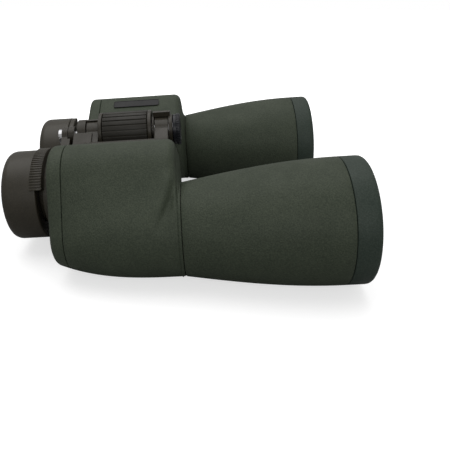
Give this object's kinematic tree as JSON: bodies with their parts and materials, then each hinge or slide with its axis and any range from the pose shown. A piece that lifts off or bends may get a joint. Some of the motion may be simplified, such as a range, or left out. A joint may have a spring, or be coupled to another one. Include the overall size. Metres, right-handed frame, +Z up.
{
  "type": "porro prism binoculars",
  "caption": "Full-size porro prism binoculars with rubber-armoured halves on a centre hinge, a ribbed focus wheel on a bridge that carries both eyepieces, a dioptre ring and twist-up eyecups.",
  "frame": {"origin": "centre of the bounding box's underside, which is the plane the two front rims touch", "axes": "+X along the optical axes from the eyepieces to the objectives, +Y to the left half as the user holds it, +Z up, on the hinge's side"},
  "size_m": [0.1818, 0.203, 0.0763],
  "materials": {
    "green_rubber": "fine-grained semi-matt dark green armour",
    "black_rubber": "smooth semi-matt black",
    "black_painted_metal": "satin black paint",
    "black_plastic": "glossy black",
    "turned_steel": "turned",
    "spring_steel": "bright rolled strip",
    "coated_glass": "coated"
  },
  "bodies": {
    "right_half": {"right_prism_housing": "black_painted_metal", "right_housing_armour": "green_rubber", "right_rear_cover": "green_rubber", "right_objective_tube": "black_painted_metal", "right_barrel_armour": "green_rubber", "right_front_bumper": "green_rubber", "right_objective_cell": "black_painted_metal", "right_objective_crown": "coated_glass", "right_objective_flint": "coated_glass", "right_retaining_ring": "black_painted_metal", "right_prism_shelf": "black_painted_metal", "right_rear_prism": "coated_glass", "right_front_prism": "coated_glass", "right_rear_prism_strap": "spring_steel", "right_front_prism_strap": "spring_steel", "right_eyepiece_sleeve": "black_painted_metal", "hinge_pin": "turned_steel"},
    "left_half": {"left_prism_housing": "black_painted_metal", "left_housing_armour": "green_rubber", "left_rear_cover": "green_rubber", "left_objective_tube": "black_painted_metal", "left_barrel_armour": "green_rubber", "left_front_bumper": "green_rubber", "left_objective_cell": "black_painted_metal", "left_objective_crown": "coated_glass", "left_objective_flint": "coated_glass", "left_retaining_ring": "black_painted_metal", "left_prism_shelf": "black_painted_metal", "left_rear_prism": "coated_glass", "left_front_prism": "coated_glass", "left_rear_prism_strap": "spring_steel", "left_front_prism_strap": "spring_steel", "left_eyepiece_sleeve": "black_painted_metal", "name_plate": "black_plastic"},
    "focus_wheel": {"focus_wheel_core": "black_painted_metal", "focus_wheel_grip": "black_rubber"},
    "bridge": {"right_bridge_arm": "black_painted_metal", "focus_spindle": "turned_steel", "spindle_screw": "turned_steel"},
    "left_ocular": {"left_bridge_arm": "black_painted_metal", "left_ocular_tube": "black_painted_metal", "left_eye_lens": "coated_glass", "left_field_lens": "coated_glass", "left_grip_ring": "black_rubber"},
    "right_ocular": {"right_ocular_tube": "black_painted_metal", "right_eye_lens": "coated_glass", "right_field_lens": "coated_glass"},
    "dioptre": {"dioptre_ring": "black_rubber"},
    "right_cup_carrier": {"right_eyecup_carrier": "black_painted_metal"},
    "right_cup": {"right_eyecup": "black_rubber"},
    "left_cup_carrier": {"left_eyecup_carrier": "black_painted_metal"},
    "left_cup": {"left_eyecup": "black_rubber"},
    "tripod_plug": {"tripod_cap": "black_plastic"}
  },
  "joints": [
    {"name": "interpupillary_fold", "type": "hinge", "parent": "right_half", "child": "left_half", "pos_m": [0, 0, 0.064], "axis": [-1, 0, 0], "range_deg": [-4, 34]},
    {"name": "focus_wheel_turn", "type": "hinge", "parent": "right_half", "child": "focus_wheel", "pos_m": [0, 0, 0.064], "axis": [1, 0, 0], "range_deg": [-344, 115]},
    {"name": "bridge_slide", "type": "slide", "parent": "right_half", "child": "bridge", "axis": [1, 0, 0], "range_m": [-0.006, 0.002]},
    {"name": "left_eyepiece_slide", "type": "slide", "parent": "left_half", "child": "left_ocular", "axis": [1, 0, 0], "range_m": [-0.006, 0.002]},
    {"name": "dioptre_slide", "type": "slide", "parent": "bridge", "child": "right_ocular", "axis": [1, 0, 0], "range_m": [-0.001, 0.001]},
    {"name": "dioptre_turn", "type": "hinge", "parent": "right_ocular", "child": "dioptre", "pos_m": [0, -0.036, 0.0415], "axis": [1, 0, 0], "range_deg": [-36, 36]},
    {"name": "right_eyecup_lift", "type": "slide", "parent": "right_ocular", "child": "right_cup_carrier", "axis": [-1, 0, 0], "range_m": [0, 0.006]},
    {"name": "right_eyecup_twist", "type": "hinge", "parent": "right_cup_carrier", "child": "right_cup", "pos_m": [0, -0.036, 0.0415], "axis": [1, 0, 0], "range_deg": [0, 115]},
    {"name": "left_eyecup_lift", "type": "slide", "parent": "left_ocular", "child": "left_cup_carrier", "axis": [-1, 0, 0], "range_m": [0, 0.006]},
    {"name": "left_eyecup_twist", "type": "hinge", "parent": "left_cup_carrier", "child": "left_cup", "pos_m": [0, 0.036, 0.0415], "axis": [1, 0, 0], "range_deg": [0, 115]},
    {"name": "tripod_cap_pull", "type": "slide", "parent": "right_half", "child": "tripod_plug", "axis": [1, 0, 0], "range_m": [0, 0.012]}
  ],
  "couplings": [
    {"joint": "focus_wheel_turn", "follows": "bridge_slide", "rad_per_m": 1000},
    {"joint": "left_eyepiece_slide", "follows": "bridge_slide", "ratio": 1},
    {"joint": "dioptre_turn", "follows": "dioptre_slide", "rad_per_m": 625},
    {"joint": "right_eyecup_twist", "follows": "right_eyecup_lift", "rad_per_m": 333.33},
    {"joint": "left_eyecup_twist", "follows": "left_eyecup_lift", "rad_per_m": 333.33}
  ]
}
